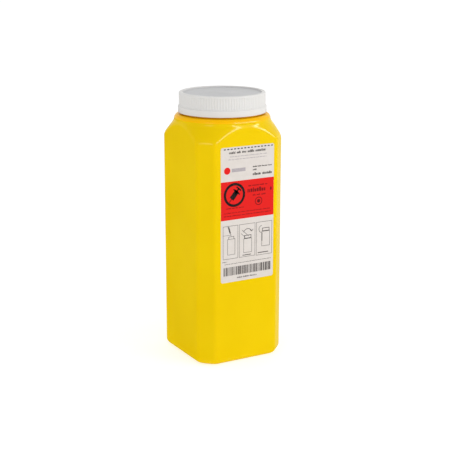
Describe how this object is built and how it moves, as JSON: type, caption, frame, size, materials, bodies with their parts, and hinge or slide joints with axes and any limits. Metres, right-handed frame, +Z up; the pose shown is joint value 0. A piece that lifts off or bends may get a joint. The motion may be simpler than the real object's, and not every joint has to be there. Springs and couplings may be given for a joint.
{
  "type": "sharps container",
  "caption": "Tall square sharps jar with cut corners, a cone shoulder and a round threaded neck, closed by a ribbed screw cap, with a label on its front.",
  "frame": {"origin": "centre of the base, on the surface that the jar stands on", "axes": "+Z up along the neck's axis; -Y is the front, the flat that carries the label; +X is to the right of the label as it is read"},
  "size_m": [0.116, 0.1162, 0.3233],
  "materials": {
    "jar_plastic": "satin",
    "cap_plastic": "satin",
    "liner_foam": "matte",
    "label_paper": "satin"
  },
  "bodies": {
    "jar": {"jar_body": "jar_plastic", "front_label": "label_paper"},
    "liner": {"cap_liner": "liner_foam"},
    "cap": {"screw_cap": "cap_plastic"}
  },
  "joints": [
    {"name": "cap_turn", "type": "hinge", "parent": "liner", "child": "cap", "pos_m": [0, 0, 0.311], "axis": [0, 0, 1], "range_deg": [0, 540]},
    {"name": "cap_rise", "type": "slide", "parent": "jar", "child": "liner", "axis": [0, 0, 1], "range_m": [0, 0.00762]}
  ],
  "couplings": [
    {"joint": "cap_rise", "follows": "cap_turn", "m_per_rad": 0.0008085}
  ]
}
